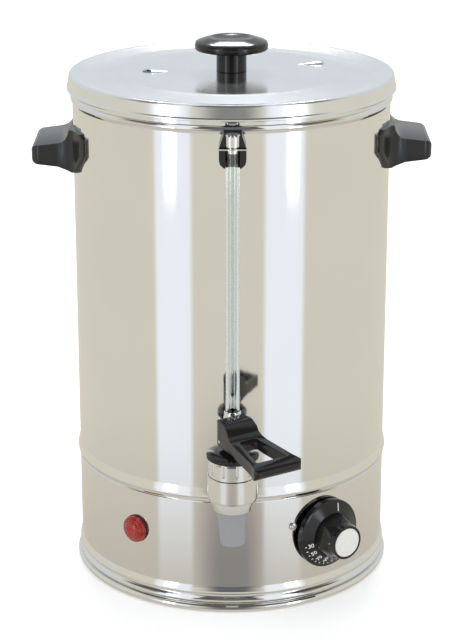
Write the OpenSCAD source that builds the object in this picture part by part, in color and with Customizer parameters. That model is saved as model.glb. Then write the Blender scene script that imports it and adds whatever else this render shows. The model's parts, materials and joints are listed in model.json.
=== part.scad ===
// Hot water urn, millimetres. The origin is the middle of the base, on the floor.
// +Z is up and the tap faces -Y.

/* [Body] */
// Outside diameter of the body wall
body_d = 300; // [290:1:310]
// Thickness of the steel sheet
wall = 1; // [0.8:0.1:1.2]
// Height of the bottom of the middle bead
mid_bead_z = 113; // [112:1:115]
// Height of the bottom of the top bead
top_bead_z = 462.3; // [460:0.1:464]
// Height of the top of the rolled rim
rim_top_z = 487.3; // [487:0.1:487.4]

/* [Lid] */
// Outside diameter of the lid
lid_d = 308.4; // [308:0.2:309]
// Height of the lower edge of the lid
lid_z = 474.2; // [473.6:0.2:475]
// Diameter of the knob's head
knob_d = 69.4; // [60:0.2:74]
// Diameter of the knob's stem
knob_stem_d = 28.4; // [24:0.2:30]

/* [Handles] */
// Height of the middle of the left handle
handle_left_z = 416.5; // [408:0.5:422]
// Height of the middle of the right handle
handle_right_z = 421; // [408:0.5:422]
// Reach of a handle beyond the body wall
handle_reach = 37.5; // [34:0.5:40]
// Width of a handle at its outer end
handle_w = 76; // [72:1:80]
// Thickness of a handle's grip
handle_t = 19.5; // [18:0.5:21]

/* [Sight gauge] */
// Outside diameter of the sight tube
gauge_d = 12.6; // [12:0.1:13]
// Distance of the sight tube from the middle of the urn
gauge_y = 172; // [171.5:0.1:172.5]
// Height of the lower end of the sight tube
gauge_bottom_z = 186; // [184:1:188]

/* [Tap] */
// Distance of the tap's upright axis from the middle of the urn
tap_y = 205; // [204.5:0.1:206]
// Height of the tap's shank
shank_z = 150; // [149:0.5:151]
// Diameter of the tap's barrel
barrel_d = 45; // [44:0.5:45]
// Angle of the lever to the right of the front
lever_yaw = 33; // [20:1:35]
// Distance from the tap's axis to the end of the lever
lever_reach = 75; // [72:1:80]
// Width of the lever's front bar
lever_w = 47; // [45:1:52]

/* [Controls] */
// Angle of the thermostat dial to the right of the front
dial_angle = 36; // [34:0.5:37]
// Height of the dial's axis
dial_z = 71; // [70:0.5:74]
// Diameter of the dial's skirt
dial_d = 67; // [65:0.5:70]
// Angle of the pilot lamp to the left of the front
lamp_angle = 37; // [35:0.5:39]
// Height of the pilot lamp
lamp_z = 73; // [71:0.5:75]
// Diameter of the pilot lamp's lens
lamp_d = 26.6; // [24:0.2:28]

/* [Hidden] */
$fn = 96;

// Shared values
body_r = body_d / 2;
inner_r = body_r - wall;
gap = 0.1;              // between pieces that are fitted together
run_gap = 0.05;         // around a pin or shaft that turns or slides
bead_out = 2;           // how far a bead stands out of the wall
foot_h = 7.6;
foot_r = body_r + 4.5;
plate_z = 8;            // underside of the base plate
plate_t = 1.2;
plate_r = 139.5;        // small enough to pass the foot ring from below
floor_z = 126;          // underside of the tank's floor
floor_t = 1.2;
floor_top_z = floor_z + floor_t;
tap_x = 1;
mid_bead_h = 13;
top_bead_h = 7.6;
tank_top_z = 484;

// A sheet of thickness t whose outer face follows a path of [radius, height] points
function sheet(path, t) = concat(path, [for (i = [len(path) - 1:-1:0]) path[i] - [t, 0]]);

// A bead that bulges out of a wall of radius r, as [radius, height] points. Its fullest part lies low
// where skew is above 1.
function bead(r, z, h, out, skew = 1, n = 8) =
    [for (i = [0:n]) [r + out * sin(180 * i / n), z + h * pow(i / n, skew)]];

// Points of an arc from angle a to angle b
function arc(c, r, a, b, n = 6) =
    [for (i = [0:n]) let (t = a + (b - a) * i / n) [c[0] + r * cos(t), c[1] + r * sin(t)]];

// The same points mirrored left to right, in reverse order, to close an outline
function mirrored(p) = [for (i = [len(p) - 1:-1:0]) [-p[i][0], p[i][1]]];

// Puts its children on the body's wall: their +Z points out and their +Y up
module on_wall(angle, z) {
    rotate([0, 0, angle]) translate([0, -body_r, z]) rotate([90, 0, 0]) children();
}

// A straight rod with round ends between two points
module rod(a, b, r) {
    d = b - a;
    length = norm(d);
    translate(a) rotate([0, acos(d[2] / length), atan2(d[1], d[0])]) {
        cylinder(r = r, h = length, $fn = 24);
        sphere(r = r, $fn = 24);
        translate([0, 0, length]) sphere(r = r, $fn = 24);
    }
}

module tube(outer_r, bore_r, h) {
    difference() {
        cylinder(r = outer_r, h = h);
        translate([0, 0, -1]) cylinder(r = bore_r, h = h + 2);
    }
}

module hex_nut(r, bore_r, h) {
    difference() {
        cylinder(r = r, h = h, $fn = 6);
        translate([0, 0, -1]) cylinder(r = bore_r, h = h + 2);
    }
}

// A pan-head screw that points along -Z, with its head above Z = 0 and a cross slot
module pan_screw(head_r, head_h, shank_r, length) {
    difference() {
        union() {
            rotate_extrude() polygon(concat([[0, 0], [head_r, 0]],
                arc([head_r - head_h * 0.8, head_h * 0.2], head_h * 0.8, 0, 90, 5), [[0, head_h]]));
            translate([0, 0, -length]) cylinder(r = shank_r, h = length + 0.1);
        }
        for (a = [0, 90]) rotate([0, 0, a + 20])
            translate([-head_r * 0.6, -head_r * 0.09, head_h * 0.5])
                cube([head_r * 1.2, head_r * 0.18, head_h]);
    }
}

// ---- Body ----

// The tank's wall, with the middle bead at its foot and the top bead under the rim
top_bead_out = 1.8;
module tank_shell() {
    path = concat(
        bead(body_r, mid_bead_z, mid_bead_h, bead_out, 1.5),
        bead(body_r, top_bead_z, top_bead_h, top_bead_out),
        [[body_r, tank_top_z]]);
    color("silver") difference() {
        rotate_extrude($fn = 180) polygon(sheet(path, wall));
        on_wall(0, shank_z) translate([tap_x, 0, -8]) cylinder(r = shank_r + gap, h = 12);
        on_wall(0, holder_screw_z) translate([tap_x, 0, -8]) cylinder(r = 2 + gap, h = 12);
        at_handle_screws() translate([0, 0, -8]) cylinder(r = 3 + gap, h = 12);
    }
}

// The rolled rim over the tank's top edge
module rim_ring() {
    roll_r = 2.4;
    color("silver") difference() {
        rotate_extrude($fn = 180) translate([body_r - wall / 2, rim_top_z - roll_r])
            circle(r = roll_r, $fn = 24);
        translate([0, 0, tank_top_z - 10]) difference() {
            cylinder(r = body_r + 0.05, h = 10.05);
            translate([0, 0, -1]) cylinder(r = inner_r - 0.05, h = 13);
        }
    }
}

// The tank's floor, with its skirt and the holes of what passes through it
module tank_floor() {
    r = inner_r - 0.1;
    color("lightgray") difference() {
        rotate_extrude($fn = 180) polygon([[0, floor_z], [r - floor_t, floor_z], [r - floor_t, floor_z - 6],
            [r, floor_z - 6], [r, floor_top_z], [0, floor_top_z]]);
        for (p = element_legs) translate([p[0], p[1], floor_z - 1]) cylinder(r = bush_r + gap, h = 4);
        translate([bulb_x, bulb_y, floor_z - 1]) cylinder(r = bulb_gland_r + gap, h = 4);
    }
}

// The wall of the electrical compartment, with its two lower beads, the lap inside the tank's wall and
// the flange that the base plate is screwed to
module base_shell() {
    low_out = 2.4;
    path = concat(
        bead(body_r, foot_h + 0.2, 7.8, low_out),
        bead(body_r, foot_h + 8, 10.4, low_out * 0.8, 1.3),
        [[body_r, mid_bead_z - 1.6], [inner_r - gap, mid_bead_z - 0.3], [inner_r - gap, mid_bead_z + 5.5]]);
    flange_z = plate_z + plate_t + gap;
    color("silver") difference() {
        union() {
            rotate_extrude($fn = 180) polygon(sheet(path, wall));
            translate([0, 0, flange_z]) difference() {
                cylinder(r = inner_r + 0.5, h = 1.6, $fn = 180);
                translate([0, 0, -1]) cylinder(r = plate_r - 10, h = 4, $fn = 180);
            }
        }
        at_plate_screws() cylinder(r = 1.5 + gap, h = 20);
        on_wall(dial_angle, dial_z) translate([0, 0, -8]) cylinder(r = neck_r + 0.5, h = 12);
        on_wall(-lamp_angle, lamp_z) translate([0, 0, -8]) cylinder(r = lamp_body_r + gap, h = 12);
        on_wall(180, gland_z) translate([0, 0, -8]) cylinder(r = gland_thread_r + gap, h = 12);
        for (s = screw_places) on_wall(dial_angle + s[0], dial_z + s[1])
            translate([0, 0, -8]) cylinder(r = 2 + gap, h = 12);
    }
}

// The rolled ring that the urn stands on
module foot_ring() {
    seat_r = body_r - 2;
    color("gainsboro") rotate_extrude($fn = 180) polygon(concat(
        [[seat_r - 8, 0], [seat_r, 0]],
        arc([foot_r - 5.4, 5.2], 5.2, -80, 0, 6),
        [[foot_r - 0.6, 6.6], [foot_r - 1.8, foot_h - 0.1], [foot_r - 2.6, foot_h]],
        [[seat_r, foot_h], [seat_r, 2], [seat_r - 8, 2]]));
}

// The plate that closes the compartment from below, with the reset button's hole
module base_plate() {
    color("silver") translate([0, 0, plate_z]) difference() {
        cylinder(r = plate_r, h = plate_t, $fn = 180);
        translate([cutout_x, cutout_y, -1]) cylinder(r = button_r + 1.2, h = 4);
        for (a = [0:30:330]) rotate([0, 0, a]) translate([0, 105, -1]) cylinder(r = 4, h = 4);
        at_plate_screws() cylinder(r = 1.5 + gap, h = 4, center = true);
    }
}

// The four places of the base plate's screws
module at_plate_screws() {
    for (a = [45:90:315]) rotate([0, 0, a]) translate([plate_r - 5, 0, 0]) children();
}

module base_plate_screws() {
    color("dimgray") translate([0, 0, plate_z]) at_plate_screws() mirror([0, 0, 1])
        pan_screw(3.2, 1.6, 1.5, 5);
}

// ---- Lid ----

// The lid's top face inside its rounded edge, as [radius, height] points: the rim, the gutter and the
// flat middle
lid_edge_r = 2.6;
lid_edge = lid_d / 2;
lid_lean = 1.2;         // how far the lid's edge leans in from bottom to top
lid_bend = [lid_edge - lid_edge_r - lid_lean, 486.1];
lid_centre_z = 488.6;
lid_face = [[lid_edge - 6, 488.6], [lid_edge - 9, 487.7], [lid_edge - 19, 485], [lid_edge - 22, 484.5],
    [lid_edge - 25, 484.6], [lid_edge - 46, 487.4], [lid_edge - 49, 487.9], [lid_edge - 52, 488.1],
    [lid_edge - 100, 488.5], [0, lid_centre_z]];
louvres = [[-84, -4], [86, 38]];   // places of the two steam louvres
louvre_r = 4.4;
louvre_l = 27;
louvre_z = 487.9;

// Puts its children at a louvre's mouth, with +X towards the middle
module at_louvre(p) {
    translate([p[0], p[1], louvre_z]) rotate([0, 0, atan2(-p[1], -p[0])]) children();
}

module lid_panel() {
    hem = 0.9;
    skirt = [[lid_edge - wall, lid_z], [lid_edge + hem - 0.5, lid_z], [lid_edge + hem, lid_z + 0.6],
        [lid_edge + hem, lid_z + 2], [lid_edge, lid_z + 3]];
    profile = concat(
        skirt, arc(lid_bend, lid_edge_r, 0, 90), lid_face,
        [for (i = [len(lid_face) - 1:-1:0]) lid_face[i] - [0, wall]],
        arc(lid_bend, lid_edge_r - wall, 90, 0));
    color("lightsteelblue") difference() {
        rotate_extrude($fn = 180) polygon(profile);
        for (p = louvres) at_louvre(p) translate([4, 0, -6]) cylinder(r = 2.4, h = 12, $fn = 24);
        translate([0, 0, lid_centre_z - 5]) cylinder(r = 2.5 + gap, h = 10);
    }
}

// Two half-cone steam hoods that open outwards and run out towards the middle
module lid_louvres() {
    mouth_r = louvre_r - 0.9;
    color("lightsteelblue") for (p = louvres) at_louvre(p) difference() {
        rotate([0, 90, 0]) cylinder(r1 = louvre_r, r2 = 0.4, h = louvre_l, $fn = 32);
        rotate([0, 90, 0]) translate([0, 0, -1])
            cylinder(r1 = mouth_r + 0.1, r2 = 0.8, h = louvre_l * 0.75, $fn = 32);
        translate([-1, -louvre_r - 1, -9.4]) cube([louvre_l + 2, 2 * louvre_r + 2, 10]);
    }
}

// The head of the knob, dished on top
knob_foot_z = lid_centre_z + 0.1;
knob_joint_z = knob_foot_z + 19.7;
module lid_knob_head() {
    r = knob_d / 2;
    z = knob_joint_z;
    color([0.09, 0.08, 0.08]) rotate_extrude() polygon(concat(
        [[0, z], [r - 2.4, z], [r - 0.6, z + 0.5], [r, z + 1.6], [r, z + 5.4]],
        arc([r - 2.6, z + 5.4], 2.6, 10, 62, 5),
        [[r - 5, z + 8.8], [r - 10.5, z + 10.6]],
        arc([r - 15.5, z + 9], 3, 70, 120, 5),
        [[r - 19, z + 11], [r - 24, z + 10.2], [0, z + 9.8]]));
}

// The stem of the knob, bored for its screw
module lid_knob_stem() {
    r = knob_stem_d / 2;
    color([0.09, 0.08, 0.08]) difference() {
        rotate_extrude() polygon([[0, knob_foot_z], [r - 0.3, knob_foot_z], [r, knob_foot_z + 0.3],
            [r, knob_joint_z - 0.1], [0, knob_joint_z - 0.1]]);
        translate([0, 0, knob_foot_z - 1]) cylinder(r = 2.6, h = 30);
    }
}

module lid_knob_screw() {
    color("silver") translate([0, 0, lid_centre_z - wall - 1.7]) {
        translate([0, 0, -3]) cylinder(r = 4.5, h = 3);
        cylinder(r = 2.5, h = 20);
    }
}

module lid_knob_washer() {
    color("silver") translate([0, 0, lid_centre_z - wall - 1.6]) tube(11, 2.6, 1.4);
}

// ---- Handles ----

handle_foot_x = 65.5;   // half the width of the foot that hugs the wall
handle_screw_x = 22;
handle_half_t = handle_t / 2;
pocket_top = 2;         // ceiling of the finger pocket, above the handle's middle height

// Half of the handle from above: the foot along the wall, then the grip
handle_plan = concat(
    [[handle_foot_x, -17.5], [handle_foot_x, -13.5], [59, -8.8], [52, -5.6], [46, -2.5], [42, 2], [40, 7],
     [handle_w / 2 + 0.5, 14]],
    arc([handle_w / 2 - 9, handle_reach - 9], 9, 8, 90, 7));

// The handle from the side, as [reach, height] points about its middle height
handle_side = [[-20, -16], [0, -15.6], [4, -14.2], [8, -13], [12, -handle_half_t - 1.8],
    [handle_reach - 4, -handle_half_t + 0.6], [handle_reach - 1, -handle_half_t + 2.4],
    [handle_reach, -handle_half_t + 5], [handle_reach, handle_half_t - 6],
    [handle_reach - 1.2, handle_half_t - 3.2], [handle_reach - 4, handle_half_t - 1.4],
    [12, handle_half_t + 1.2], [8, 12.4], [5, 15], [2.5, 19], [1, 25], [-20, 25]];

// Half of the foot's outline from the front
handle_front = [[45, -16], [56.5, -4.5], [handle_foot_x, 4.5], [handle_foot_x, 20.5], [60, 24.2], [24, 24.8],
    [11, 20.2]];

// Puts its children at the two screws of each handle
module at_handle_screws() {
    for (h = [[-90, handle_left_z], [90, handle_right_z]], x = [-1, 1])
        on_wall(h[0], h[1]) translate([x * handle_screw_x, 0, 0]) children();
}

// One moulded handle, hollow below for the fingers
module handle() {
    difference() {
        intersection() {
            translate([0, 40, 0]) rotate([90, 0, 0]) linear_extrude(height = 80)
                polygon(concat(handle_plan, mirrored(handle_plan)));
            translate([-80, 0, 0]) rotate([90, 0, 90]) linear_extrude(height = 160)
                polygon([for (p = handle_side) [p[1], p[0]]]);
            translate([0, 0, -30]) linear_extrude(height = 80)
                polygon(concat(handle_front, mirrored(handle_front)));
        }
        translate([0, 0, -body_r]) rotate([90, 0, 0])
            cylinder(r = body_r + gap, h = 80, center = true, $fn = 180);
        translate([0, pocket_top, 19]) hull() for (x = [-25, 25], z = [-4, 9])
            translate([x, 0, z]) rotate([90, 0, 0]) cylinder(r = 4, h = 30, $fn = 24);
        for (x = [-1, 1]) translate([x * handle_screw_x, 0, -4]) cylinder(r = 3 + run_gap, h = 14.2);
    }
}

module handle_left() {
    color([0.12, 0.12, 0.13]) on_wall(-90, handle_left_z) handle();
}

module handle_right() {
    color([0.12, 0.12, 0.13]) on_wall(90, handle_right_z) handle();
}

module handle_screws() {
    color("silver") at_handle_screws() translate([0, 0, -10]) {
        cylinder(r = 5, h = 2);
        translate([0, 0, 1]) cylinder(r = 3, h = 19);
    }
}

// Curved plates inside the tank that spread the load of the handles
module handle_backing_plates() {
    color("silver") difference() {
        for (h = [[-90, handle_left_z], [90, handle_right_z]])
            rotate([0, 0, h[0] - 90 - 14]) translate([0, 0, h[1] - 12])
                rotate_extrude(angle = 28, $fn = 180) translate([inner_r - 1.3, 0]) square([1.2, 24]);
        at_handle_screws() translate([0, 0, -9]) cylinder(r = 3 + gap, h = 12);
    }
}

// ---- Sight gauge ----

gauge_r = gauge_d / 2;
gauge_top_z = 457;
cap_z = 457.1;
cap_top_z = 467.6;
holder_z = 437;
holder_w = 24;
holder_screw_z = 447;
clip_z = 454.6;
gland_nut_z = 193;
shank_r = 8;

module at_gauge() {
    translate([tap_x, -gauge_y, 0]) children();
}

module gauge_tube() {
    color("azure", 0.5) at_gauge() translate([0, 0, gauge_bottom_z])
        tube(gauge_r, gauge_r - 1.5, gauge_top_z - gauge_bottom_z);
}

// The cap that plugs the top of the tube, with a vent hole
module gauge_cap() {
    cap_r = gauge_r + 0.5;
    color("gainsboro") at_gauge() difference() {
        rotate_extrude() polygon([[0, cap_z - 6], [gauge_r - 1.6, cap_z - 6], [gauge_r - 1.6, cap_z],
            [cap_r, cap_z], [cap_r, cap_top_z - 1.4], [cap_r - 1, cap_top_z], [0, cap_top_z]]);
        translate([0, 0, cap_z - 8]) cylinder(r = 1, h = 30);
    }
}

// The dark holder between the tube and the wall, rounded below and drawn in at the top
module gauge_holder() {
    half = holder_w / 2;
    top = cap_top_z - holder_z;
    outline = concat(
        [[-half, 8], [-half + 0.9, 4], [-half + 4, 1], [-half + 8, 0]],
        [[half - 8, 0], [half - 4, 1], [half - 0.9, 4], [half, 8]],
        [[half, 18], [half - 1.8, 24], [half - 4, top - 0.6]],
        [[-half + 4, top - 0.6], [-half + 1.8, 24], [-half, 18]]);
    color([0.16, 0.16, 0.16]) difference() {
        on_wall(0, holder_z) translate([tap_x, 0, -2]) linear_extrude(height = gauge_y - body_r + 5)
            polygon(outline);
        cylinder(r = body_r + gap, h = 600, $fn = 180);
        translate([0, 0, top_bead_z - 0.2]) cylinder(r = body_r + top_bead_out + gap, h = 20, $fn = 180);
        at_gauge() cylinder(r = gauge_r + 0.6, h = 600);
        translate([tap_x - 2.2, -gauge_y - 10, holder_screw_z - 2.2]) cube([4.4, 12, 4.4]);
        on_wall(0, holder_screw_z) translate([tap_x, 0, -6]) cylinder(r = 2 + run_gap, h = 14);
        translate([tap_x - 20, -gauge_y - 7, clip_z - gap]) cube([40, 6, 1.2 + gap * 2]);
    }
}

// The thin metal clip that passes round the tube, and the screw that holds the holder
module gauge_clip() {
    color("silver") {
        at_gauge() translate([0, 0, clip_z]) difference() {
            union() {
                cylinder(r = gauge_r + 2.4, h = 1.2);
                translate([-holder_w / 2 - 0.3, -6.9, 0]) cube([holder_w + 0.6, 5.8, 1.2]);
            }
            translate([0, 0, -1]) cylinder(r = gauge_r + gap, h = 4);
            translate([-20, -1.1, -1]) cube([40, 20, 4]);
        }
        on_wall(0, holder_screw_z) translate([tap_x, 0, -7]) {
            cylinder(r = 2, h = 14);
            cylinder(r = 4, h = 2.6, $fn = 6);
        }
    }
}

// The gland nut at the tube's lower end
module gauge_gland_nut() {
    color("silver") at_gauge() difference() {
        rotate_extrude() polygon([[0, gland_nut_z], [8.2, gland_nut_z], [8.2, 206], [7.9, 206.4],
            [7.4, 211.5], [7, 212.2], [0, 212.2]]);
        translate([0, 0, gland_nut_z - 3]) cylinder(r = gauge_r + gap, h = 40);
        translate([0, 0, gland_nut_z - 3]) cylinder(r = 7.2 + gap, h = 12.4);
    }
}

module gauge_seal() {
    color("black") at_gauge() translate([0, 0, 198.8]) tube(7.1, gauge_r + run_gap, 3.4);
}

// The elbow on the tap's shank that feeds the tube
module gauge_banjo() {
    bore_top = 198.6;
    color("silver") difference() {
        union() {
            translate([tap_x, -gauge_y - 10, shank_z]) rotate([-90, 0, 0]) cylinder(r = 14, h = 20);
            at_gauge() translate([0, 0, shank_z]) cylinder(r = 8.2, h = 42.9);
            at_gauge() translate([0, 0, shank_z]) cylinder(r = 7.2, h = bore_top - shank_z);
        }
        translate([tap_x, -gauge_y - 12, shank_z]) rotate([-90, 0, 0]) cylinder(r = shank_r + gap, h = 24);
        at_gauge() translate([0, 0, shank_z]) cylinder(r = 4, h = 60);
        at_gauge() translate([0, 0, gauge_bottom_z - 0.2]) cylinder(r = gauge_r + gap, h = 40);
    }
}

// ---- Tap ----

barrel_r = barrel_d / 2;
barrel_z = 142;         // bottom of the barrel's straight part
barrel_top_z = 164;
taper_z = 130.5;        // bottom of the barrel's taper
chamber_r = 17;
seat_z = 139;           // the seat that the cup closes on
nozzle_z = 97;
nozzle_bore_r = 7.5;
pivot_z = 198;
stem_r = 4;
pin_r = 1.5;
stem_travel = 5;

module at_tap() {
    translate([tap_x, -tap_y, 0]) children();
}

module at_lever() {
    at_tap() rotate([0, 0, lever_yaw]) children();
}

// Barrel, seat and shank in one piece
module tap_body() {
    shank_l = tap_y - inner_r + 14;
    color("gainsboro") at_tap() difference() {
        union() {
            rotate_extrude() polygon([[0, taper_z], [16.2, taper_z], [17.2, taper_z + 0.6],
                [18.2, taper_z + 4], [barrel_r - 1.6, barrel_z - 2.6], [barrel_r - 0.3, barrel_z - 0.4],
                [barrel_r, barrel_z + 1.2], [barrel_r, barrel_top_z - 0.3],
                [barrel_r - 0.3, barrel_top_z], [0, barrel_top_z]]);
            translate([0, 0, shank_z]) rotate([-90, 0, 0]) cylinder(r = shank_r, h = shank_l);
            translate([0, 0, shank_z]) rotate([-90, 0, 0]) cylinder(r = 11, h = barrel_r + 0.4);
        }
        translate([0, 0, seat_z]) cylinder(r = chamber_r, h = 40);
        translate([0, 0, taper_z - 1]) cylinder(r = nozzle_bore_r, h = 20);
        translate([0, 0, taper_z - 1]) cylinder(r = 10 + gap, h = 6);
        translate([0, 0, shank_z]) rotate([-90, 0, 0]) cylinder(r = 5.5, h = shank_l + 1);
        translate([0, gauge_offset, shank_z]) cylinder(r = 3, h = 12);
    }
}
gauge_offset = tap_y - gauge_y;

module tap_shank_nut() {
    color("silver") translate([tap_x, -inner_r + 2.6, shank_z]) rotate([-90, 0, 0])
        hex_nut(14, shank_r + gap, 6);
}

module tap_outer_washer() {
    color([0.15, 0.15, 0.15]) difference() {
        translate([tap_x, -gauge_y + 10.1, shank_z]) rotate([-90, 0, 0])
            tube(13, shank_r + gap, gauge_y - 155);
        cylinder(r = body_r + run_gap, h = 600, $fn = 180);
    }
}

module tap_inner_washer() {
    color([0.15, 0.15, 0.15]) intersection() {
        translate([tap_x, -inner_r - 3, shank_z]) rotate([-90, 0, 0]) tube(15, shank_r + gap, 5.5);
        cylinder(r = inner_r - run_gap, h = 600, $fn = 180);
    }
}

// The grey spout, plugged into the barrel from below
module tap_nozzle() {
    color([0.62, 0.64, 0.66]) at_tap() difference() {
        rotate_extrude() polygon([[0, nozzle_z], [10.4, nozzle_z], [11.2, nozzle_z + 0.8],
            [12.4, nozzle_z + 16], [13.1, nozzle_z + 23], [14.6, nozzle_z + 30], [15.8, taper_z - 0.3],
            [15.8, taper_z - 0.1], [10, taper_z - 0.1], [10, taper_z + 4.8], [0, taper_z + 4.8]]);
        translate([0, 0, nozzle_z - 1]) cylinder(r = nozzle_bore_r, h = 60);
    }
}

// The fluted ring nut that holds the bonnet
module tap_ring() {
    ring_r = barrel_r - 1;
    flutes = 11;
    z = barrel_top_z + 0.4;
    color("silver") at_tap() difference() {
        rotate_extrude() polygon([[0, z], [ring_r, z], [ring_r, 177.5], [ring_r - 1.2, 179.8], [0, 179.8]]);
        translate([0, 0, z - 1]) cylinder(r = chamber_r, h = 30);
        for (i = [0:flutes - 1]) rotate([0, 0, 360 * i / flutes + 11]) {
            translate([0, -ring_r - 0.5, 169.5]) cylinder(r = 1.6, h = 14, $fn = 24);
            translate([0, -ring_r - 0.1, 168.8]) sphere(r = 1.3, $fn = 24);
        }
    }
}

// The knurled black bonnet that turns on the ring and carries the lever's pin
module tap_bonnet() {
    bonnet_r = 23.5;
    knurls = 30;
    color([0.13, 0.13, 0.13]) at_lever() difference() {
        rotate_extrude() polygon([[0, 174], [chamber_r - 0.2, 174], [chamber_r - 0.2, 180.2],
            [bonnet_r - 0.8, 180.2], [bonnet_r, 181], [bonnet_r, 183.8], [bonnet_r - 0.8, 184.8],
            [15, 187.4], [9, 188.2], [7.4, 189], [7, 190], [7, 203], [0, 203]]);
        for (i = [0:knurls - 1]) rotate([0, 0, 360 * i / knurls])
            translate([0, -bonnet_r - 0.9, 170]) cylinder(r = 1.5, h = 30, $fn = 16);
        translate([0, 0, 170]) cylinder(r = stem_r + run_gap, h = 50);
        translate([-30, 0, pivot_z]) rotate([0, 90, 0]) cylinder(r = pin_r + gap, h = 60);
    }
}

// The stem, slotted for the pin, with a head above and a foot for the cup
module tap_stem() {
    slot_w = 2 * pin_r + 0.3;
    color("silver") at_lever() difference() {
        union() {
            translate([0, 0, 144]) cylinder(r = stem_r, h = 60.2);
            translate([0, 0, 203.5]) cylinder(r = 5, h = 2.5);
            translate([0, 0, 153]) cylinder(r = 9, h = 1.6);
        }
        translate([-10, -slot_w / 2, pivot_z - pin_r - 0.2 - stem_travel])
            cube([20, slot_w, stem_travel + 2 * pin_r + 0.4]);
    }
}

module tap_seat_cup() {
    z = seat_z + 0.3;
    color([0.8, 0.8, 0.78]) at_lever() difference() {
        rotate_extrude() polygon([[0, z + 3], [8.5, z + 3], [10, z], [13, z], [12, z + 8],
            [9.5, 152.9], [0, 152.9]]);
        translate([0, 0, 143.9]) cylinder(r = stem_r + run_gap, h = 20);
    }
}

// The spring that closes the tap, as the plain sleeve that its coils fill
module tap_spring() {
    color("gray") at_lever() translate([0, 0, 154.8]) tube(7.6, 5.4, 18.9);
}

// The loop lever: a hollow hub, two arms and a front bar
lever_side = concat(
    [[-13, 193.6], [12, 193.4], [26, 194.2], [34, 192.4], [lever_reach - 19, 189.6], [lever_reach - 9, 187.6],
     [lever_reach - 5, 187.2]],
    arc([lever_reach - 5.6, 193], 5.6, -60, 75, 6),
    [[lever_reach - 12, 199.6], [54, 200.6], [40, 202], [30, 203.2], [22, 205], [17.5, 208], [15.4, 212]],
    arc([4, 205.5], 12, 52, 88, 4),
    arc([-3, 206.5], 10.6, 95, 170, 6));

module tap_lever() {
    half = lever_w / 2;
    outline = concat(arc([0, 0], 14, 0, 180, 20), [[-half + 2, -lever_reach + 13]],
        arc([-half + 3.6, -lever_reach + 4.4], 4.4, 190, 258, 4),
        arc([half - 3.6, -lever_reach + 4.4], 4.4, 282, 350, 4), [[half - 2, -lever_reach + 13]]);
    gap_in = 24;
    gap_out = lever_reach - 12;
    color([0.1, 0.1, 0.1]) at_lever() difference() {
        intersection() {
            translate([0, 0, 180]) linear_extrude(height = 50) polygon(outline);
            translate([-60, 0, 0]) rotate([90, 0, 90]) linear_extrude(height = 120)
                polygon([for (p = lever_side) [-p[0], p[1]]]);
        }
        translate([0, 0, 180]) linear_extrude(height = 50) polygon([[-9.5, -gap_in - 2], [-7, -gap_in],
            [7, -gap_in], [9.5, -gap_in - 2], [half - 8, -gap_out + 2], [half - 9, -gap_out],
            [-half + 9, -gap_out], [-half + 8, -gap_out + 2]]);
        translate([0, 0, 180]) cylinder(r = 10.5, h = 34);
        translate([-30, 0, pivot_z]) rotate([0, 90, 0]) cylinder(r = pin_r + run_gap, h = 60);
    }
}

module tap_pin() {
    length = 28.8;
    color("silver") at_lever() translate([-length / 2, 0, pivot_z]) rotate([0, 90, 0])
        cylinder(r = pin_r, h = length);
}

// ---- Heating ----

element_r = 80;
element_z = 150;
element_rod_r = 4.1;
bush_r = 6;
element_gap_angle = 14;
element_legs = [for (s = [-1, 1])
    [element_r * sin(s * element_gap_angle), element_r * cos(element_gap_angle)]];

// The tubular element: an open ring in the water and two legs through the floor
module heating_element() {
    low_z = 96;
    color("dimgray") {
        rotate([0, 0, 90 + element_gap_angle]) rotate_extrude(angle = 360 - 2 * element_gap_angle)
            translate([element_r, element_z]) circle(r = element_rod_r, $fn = 24);
        for (p = element_legs) {
            translate([p[0], p[1], low_z + 8]) cylinder(r = element_rod_r - 0.1, h = element_z - low_z - 8);
            translate([p[0], p[1], element_z]) sphere(r = element_rod_r + 0.3, $fn = 32);
            translate([p[0], p[1], low_z]) cylinder(r = 2, h = 12);
        }
    }
}

module element_bushes() {
    color("goldenrod") for (p = element_legs) translate([p[0], p[1], 0]) {
        translate([0, 0, floor_top_z + 1.7]) difference() {
            cylinder(r = 11, h = 5, $fn = 6);
            translate([0, 0, -1]) cylinder(r = element_rod_r + gap, h = 8);
        }
        translate([0, 0, floor_z - 12]) tube(bush_r, element_rod_r + gap, 12 + floor_t + 1.8);
    }
}

module element_nuts() {
    color("goldenrod") for (p = element_legs) translate([p[0], p[1], floor_z - 6.1])
        hex_nut(11, bush_r + gap, 6);
}

module element_seals() {
    color("black") for (p = element_legs) translate([p[0], p[1], floor_top_z + 0.05])
        tube(9, bush_r + gap, 1.6);
}

// ---- Thermostat ----

neck_r = 8;
thermostat_shaft_r = 3;
skirt_z = 1.6;          // from the wall's tangent plane to the back of the skirt
skirt_t = 5.6;
screw_places = [[-13.3, 12], [13.3, -12]];   // each screw's angle and height from the dial's axis
bulb_x = 38;
bulb_y = 24;
bulb_z = 140;
bulb_gland_r = 5;

module at_dial() {
    on_wall(dial_angle, dial_z) children();
}

// Depths below are measured inwards from the wall's tangent plane
thermostat_front = 11;
module thermostat_body() {
    w = 42;
    h = 34;
    depth = 30;
    color("tan") at_dial() difference() {
        union() {
            translate([-w / 2, -h / 2, -thermostat_front - depth]) cube([w, h, depth]);
            translate([0, 0, -thermostat_front - 1]) cylinder(r = neck_r, h = thermostat_front + 0.8);
            for (x = [-14, 0, 14]) translate([x - 3, -h / 2 + 4, -thermostat_front - depth - 9])
                cube([6, 0.8, 10]);
        }
        translate([0, 0, -thermostat_front - 12]) cylinder(r = thermostat_shaft_r + run_gap, h = 40);
    }
}

module thermostat_shaft() {
    color("silver") at_dial() translate([0, 0, -thermostat_front - 11])
        cylinder(r = thermostat_shaft_r, h = thermostat_front + 30);
}

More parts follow.
